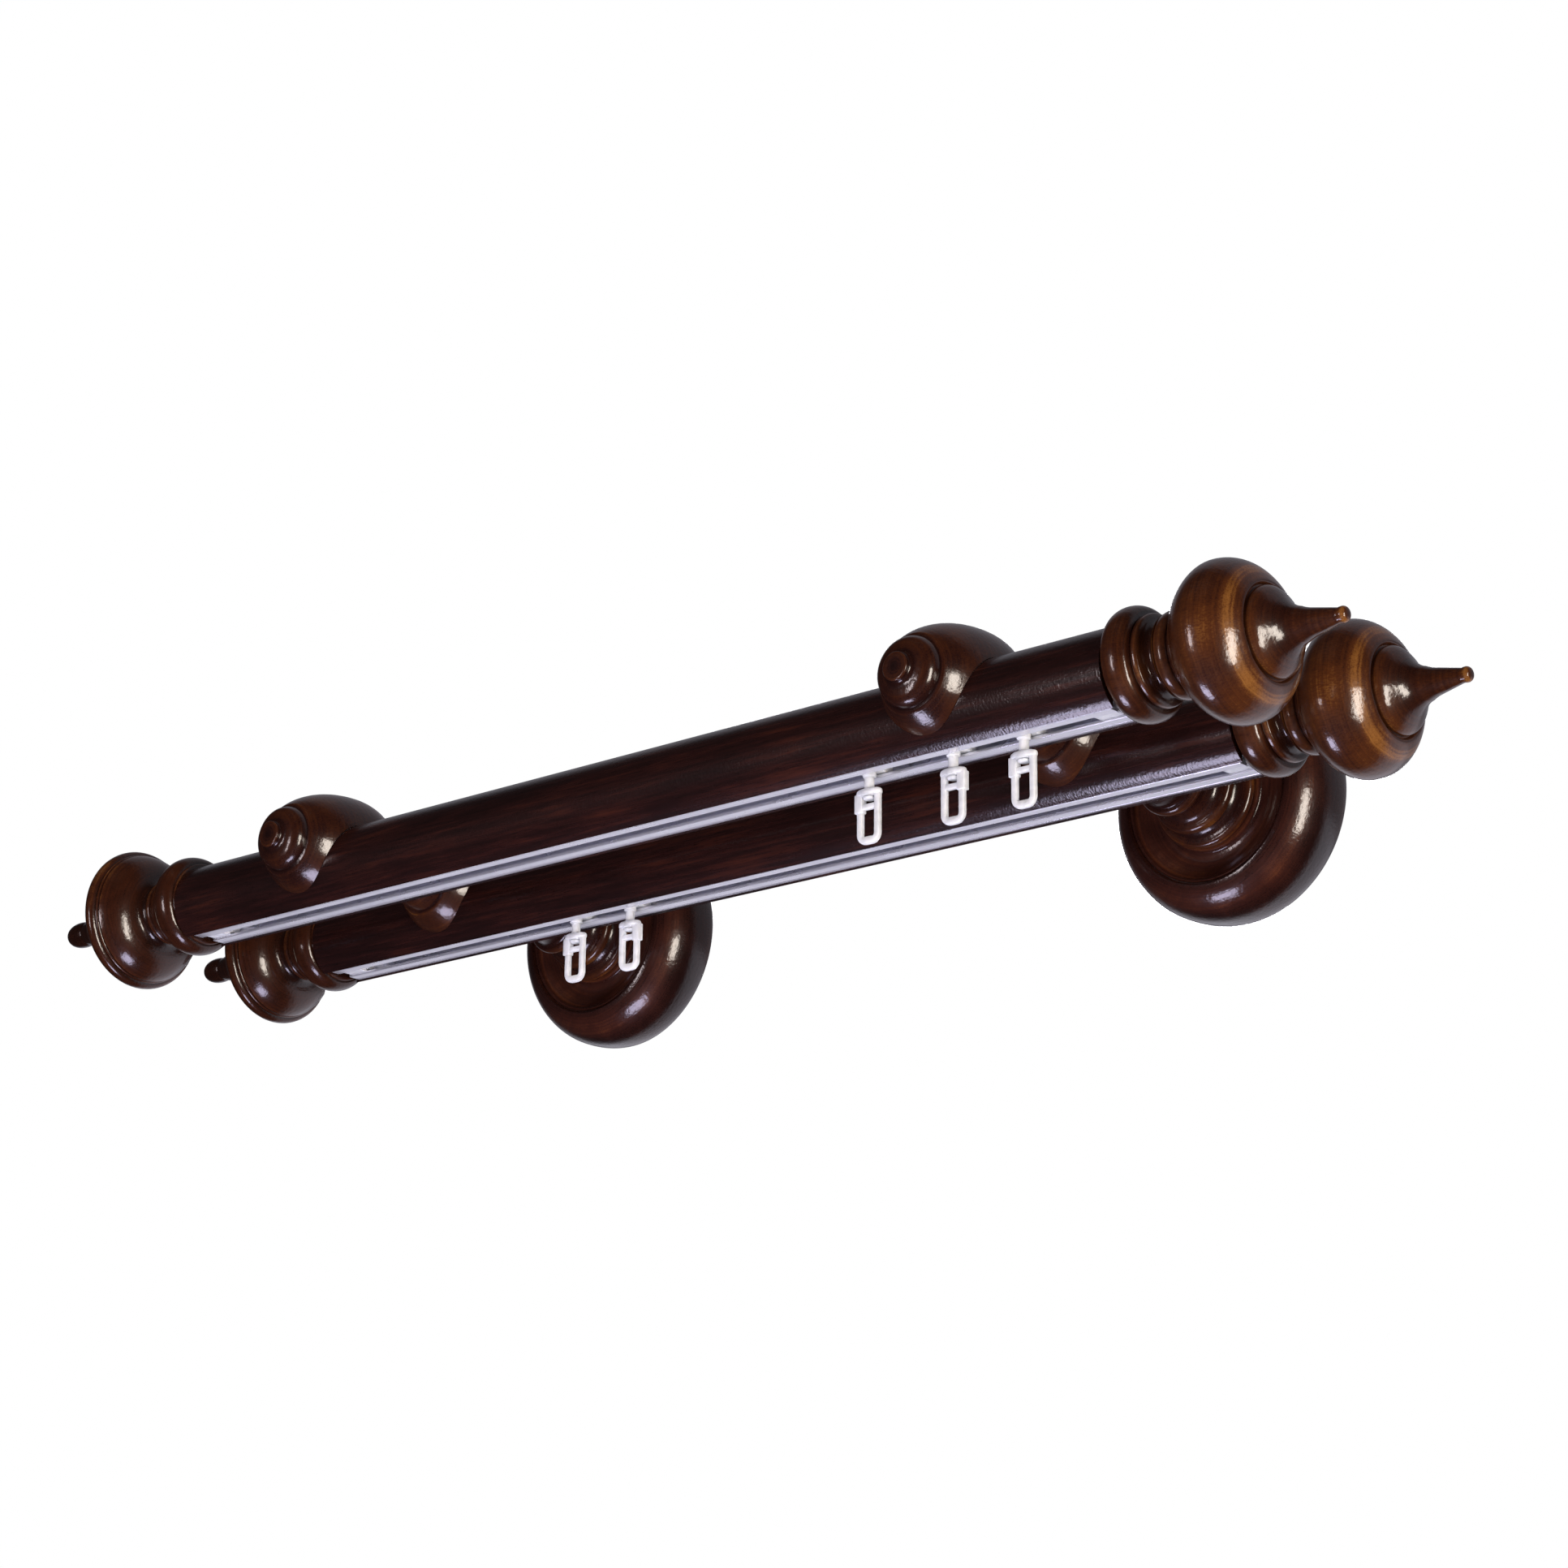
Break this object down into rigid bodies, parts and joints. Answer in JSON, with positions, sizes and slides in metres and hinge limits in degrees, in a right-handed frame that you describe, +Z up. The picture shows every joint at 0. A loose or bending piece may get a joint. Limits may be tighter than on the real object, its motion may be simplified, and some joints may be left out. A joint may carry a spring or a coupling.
{
  "type": "curtain rod with brackets",
  "caption": "Double wooden curtain rod on turned wall brackets, with grooved rods, aluminium glider tracks, plastic hooks, onion finials at one end and bell finials at the other.",
  "frame": {"origin": "middle of the right wall plate's back face, on the wall", "axes": "+X along the rods towards the onion finials, +Y into the wall, +Z up"},
  "size_m": [0.5254, 0.1743, 0.0794],
  "materials": {
    "dark_wood": "stained nearly black-brown under gloss lacquer",
    "amber_wood": "stained amber brown under gloss lacquer",
    "dowel_wood": "bare",
    "track_aluminium": "satin extruded",
    "clear_plastic": "milky, a little translucent",
    "plate_steel": "zinc plated",
    "screw_steel": "zinc plated"
  },
  "bodies": {
    "rods_and_brackets": {"front_rod": "dark_wood", "front_track": "track_aluminium", "front_right_finial": "amber_wood", "front_left_finial": "amber_wood", "front_right_dowel": "dowel_wood", "front_left_dowel": "dowel_wood", "front_left_stop": "clear_plastic", "front_right_stop": "clear_plastic", "front_track_screw_1": "screw_steel", "front_track_screw_2": "screw_steel", "back_rod": "dark_wood", "back_track": "track_aluminium", "back_right_finial": "amber_wood", "back_left_finial": "amber_wood", "back_right_dowel": "dowel_wood", "back_left_dowel": "dowel_wood", "back_left_stop": "clear_plastic", "back_right_stop": "clear_plastic", "back_track_screw_1": "screw_steel", "back_track_screw_2": "screw_steel", "right_wall_plate": "plate_steel", "right_rose": "dark_wood", "right_arm": "amber_wood", "right_front_rod_screw": "screw_steel", "right_back_rod_screw": "screw_steel", "left_wall_plate": "plate_steel", "left_rose": "dark_wood", "left_arm": "amber_wood", "left_front_rod_screw": "screw_steel", "left_back_rod_screw": "screw_steel"},
    "front_glider_1": {"front_glider_1": "clear_plastic"},
    "front_hook_1": {"front_hook_1": "clear_plastic"},
    "front_glider_2": {"front_glider_2": "clear_plastic"},
    "front_hook_2": {"front_hook_2": "clear_plastic"},
    "front_glider_3": {"front_glider_3": "clear_plastic"},
    "front_hook_3": {"front_hook_3": "clear_plastic"},
    "back_glider_1": {"back_glider_1": "clear_plastic"},
    "back_hook_1": {"back_hook_1": "clear_plastic"},
    "back_glider_2": {"back_glider_2": "clear_plastic"},
    "back_hook_2": {"back_hook_2": "clear_plastic"}
  },
  "joints": [
    {"name": "front_glider_1_slide", "type": "slide", "parent": "rods_and_brackets", "child": "front_glider_1", "axis": [1, 0, 0], "range_m": [-0.2752, 0.0104]},
    {"name": "front_hook_1_swivel", "type": "hinge", "parent": "front_glider_1", "child": "front_hook_1", "pos_m": [-0.0313, -0.147, -0.0235], "axis": [0, 0, 1], "continuous": true},
    {"name": "front_glider_2_slide", "type": "slide", "parent": "rods_and_brackets", "child": "front_glider_2", "axis": [1, 0, 0], "range_m": [-0.0102, 0.0074]},
    {"name": "front_hook_2_swivel", "type": "hinge", "parent": "front_glider_2", "child": "front_hook_2", "pos_m": [-0.0004, -0.147, -0.0235], "axis": [0, 0, 1], "continuous": true},
    {"name": "front_glider_3_slide", "type": "slide", "parent": "rods_and_brackets", "child": "front_glider_3", "axis": [1, 0, 0], "range_m": [-0.0075, 0.0208]},
    {"name": "front_hook_3_swivel", "type": "hinge", "parent": "front_glider_3", "child": "front_hook_3", "pos_m": [0.0247, -0.147, -0.0235], "axis": [0, 0, 1], "continuous": true},
    {"name": "back_glider_1_slide", "type": "slide", "parent": "rods_and_brackets", "child": "back_glider_1", "axis": [1, 0, 0], "range_m": [-0.0983, 0.0071]},
    {"name": "back_hook_1_swivel", "type": "hinge", "parent": "back_glider_1", "child": "back_hook_1", "pos_m": [-0.2082, -0.0845, -0.0235], "axis": [0, 0, 1], "continuous": true},
    {"name": "back_glider_2_slide", "type": "slide", "parent": "rods_and_brackets", "child": "back_glider_2", "axis": [1, 0, 0], "range_m": [-0.007, 0.2293]},
    {"name": "back_hook_2_swivel", "type": "hinge", "parent": "back_glider_2", "child": "back_hook_2", "pos_m": [-0.1838, -0.0845, -0.0235], "axis": [0, 0, 1], "continuous": true}
  ]
}
